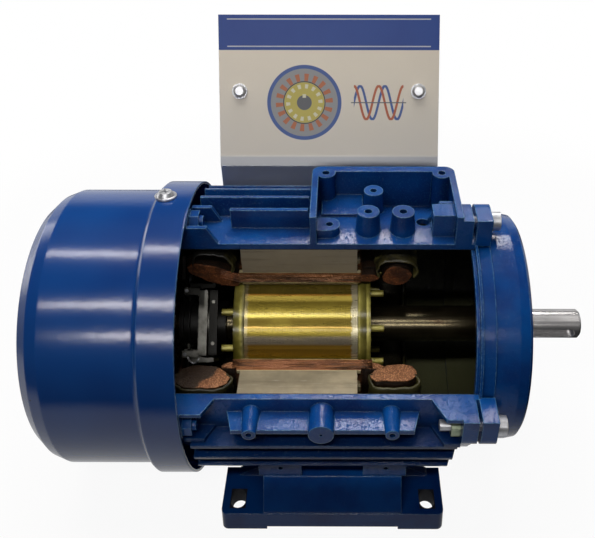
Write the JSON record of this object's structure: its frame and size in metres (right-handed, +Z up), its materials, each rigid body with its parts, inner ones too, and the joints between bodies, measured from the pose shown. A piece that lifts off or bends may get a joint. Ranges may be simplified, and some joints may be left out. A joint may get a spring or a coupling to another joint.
{
  "type": "demonstration electric motor",
  "caption": "Small foot-mounted induction motor cut open to show rotor, stator, windings and starting switch, with a fan cowl, finned case and a bent sign plate behind",
  "frame": {"origin": "On the mounting plane, midway between the two drive-end foot slots", "axes": "+X along the shaft towards the shaft end, +Z up, +Y towards the sign side"},
  "size_m": [0.2515, 0.1794, 0.1872],
  "materials": {
    "blue_casting": "die-cast aluminium in glossy dark blue enamel",
    "blue_sheet": "pressed steel sheet in glossy dark blue enamel",
    "painted_nut": "steel, painted over in blue",
    "zinc_screw": "zinc-plated steel",
    "lamination": "stacked electrical steel with ground cut faces",
    "liner_film": "pale insulating film",
    "wedge_strip": "brown slot wedge",
    "copper": "varnished copper wire, cut face bright",
    "wrap": "dark varnished insulating wrap",
    "shaft_steel": "turned steel",
    "varnished_steel": "laminations under golden varnish",
    "cage_aluminium": "cast aluminium under pale varnish",
    "bearing_steel": "ground bearing steel",
    "seal_rubber": "black rubber",
    "fan_plastic": "black moulded plastic",
    "spring_steel": "spring steel",
    "dark_sheet": "dark coated sheet steel",
    "plated_sheet": "plated sheet steel",
    "collar_plastic": "black moulded plastic",
    "board_laminate": "brown paper laminate",
    "contact_brass": "brass blade and contacts",
    "bracket_sheet": "grey painted sheet steel",
    "label_sheet": "printed aluminium sheet"
  },
  "bodies": {
    "motor": {"motor_frame": "blue_casting", "foot_front": "blue_casting", "foot_rear": "blue_casting", "foot_screws": "zinc_screw", "drive_end_shield": "blue_casting", "fan_end_shield": "blue_casting", "drive_end_bolts": "zinc_screw", "drive_end_nuts": "zinc_screw", "fan_end_bolts": "zinc_screw", "fan_end_nuts": "painted_nut", "fan_cowl": "blue_sheet", "cowl_screws": "zinc_screw", "stator_core": "lamination", "slot_liners": "liner_film", "slot_wedges": "wedge_strip", "main_winding": "copper", "auxiliary_winding": "copper", "drive_end_insulation": "wrap", "fan_end_insulation": "wrap", "drive_end_outer_race": "bearing_steel", "fan_end_outer_race": "bearing_steel", "shaft_seal": "seal_rubber", "preload_washer": "bearing_steel", "contact_board": "board_laminate", "board_screws": "zinc_screw", "fixed_contacts": "contact_brass", "sign_bracket": "bracket_sheet", "sign_label": "label_sheet", "sign_bolts": "zinc_screw", "sign_nuts": "zinc_screw", "bracket_screws": "zinc_screw"},
    "rotor": {"shaft": "shaft_steel", "rotor_core": "varnished_steel", "rotor_cage": "cage_aluminium", "drive_end_inner_race": "bearing_steel", "fan_end_inner_race": "bearing_steel", "cooling_fan": "fan_plastic", "fan_clip": "spring_steel", "switch_carrier": "dark_sheet", "switch_yoke": "plated_sheet", "switch_pivots": "spring_steel", "switch_springs": "spring_steel"},
    "drive_end_ball_set": {"drive_end_balls": "bearing_steel"},
    "fan_end_ball_set": {"fan_end_balls": "bearing_steel"},
    "upper_flyweight": {"flyweight_upper": "plated_sheet"},
    "lower_flyweight": {"flyweight_lower": "plated_sheet"},
    "collar": {"switch_collar": "collar_plastic"},
    "contact_blade": {"contact_arm": "contact_brass"}
  },
  "joints": [
    {"name": "rotor_spin", "type": "hinge", "parent": "motor", "child": "rotor", "pos_m": [0, 0, 0.071], "axis": [1, 0, 0], "continuous": true},
    {"name": "drive_end_cage_spin", "type": "hinge", "parent": "motor", "child": "drive_end_ball_set", "pos_m": [0.0355, 0, 0.071], "axis": [1, 0, 0], "continuous": true},
    {"name": "fan_end_cage_spin", "type": "hinge", "parent": "motor", "child": "fan_end_ball_set", "pos_m": [-0.1265, 0, 0.071], "axis": [1, 0, 0], "continuous": true},
    {"name": "upper_flyweight_swing", "type": "hinge", "parent": "rotor", "child": "upper_flyweight", "pos_m": [-0.1153, 0.01042, 0.08179], "axis": [0, -0.7193, 0.6947], "range_deg": [0, 33], "stiffness_Nm_per_rad": 0.02, "springref_deg": -17.19},
    {"name": "lower_flyweight_swing", "type": "hinge", "parent": "rotor", "child": "lower_flyweight", "pos_m": [-0.1153, -0.01042, 0.06021], "axis": [0, 0.7193, -0.6947], "range_deg": [0, 33.5], "stiffness_Nm_per_rad": 0.02, "springref_deg": -17.19},
    {"name": "collar_slide", "type": "slide", "parent": "rotor", "child": "collar", "axis": [1, 0, 0], "range_m": [0, 0.00235]},
    {"name": "contact_blade_flex", "type": "hinge", "parent": "motor", "child": "contact_blade", "pos_m": [-0.1189, 0.02051, 0.05049], "axis": [0, 0.7071, 0.7071], "range_deg": [0, 3.8]}
  ],
  "couplings": [
    {"joint": "drive_end_cage_spin", "follows": "rotor_spin", "ratio": 0.388},
    {"joint": "fan_end_cage_spin", "follows": "rotor_spin", "ratio": 0.388},
    {"joint": "lower_flyweight_swing", "follows": "upper_flyweight_swing", "ratio": 1},
    {"joint": "collar_slide", "follows": "upper_flyweight_swing", "m_per_rad": 0.0039933},
    {"joint": "contact_blade_flex", "follows": "upper_flyweight_swing", "ratio": 0.11212}
  ]
}
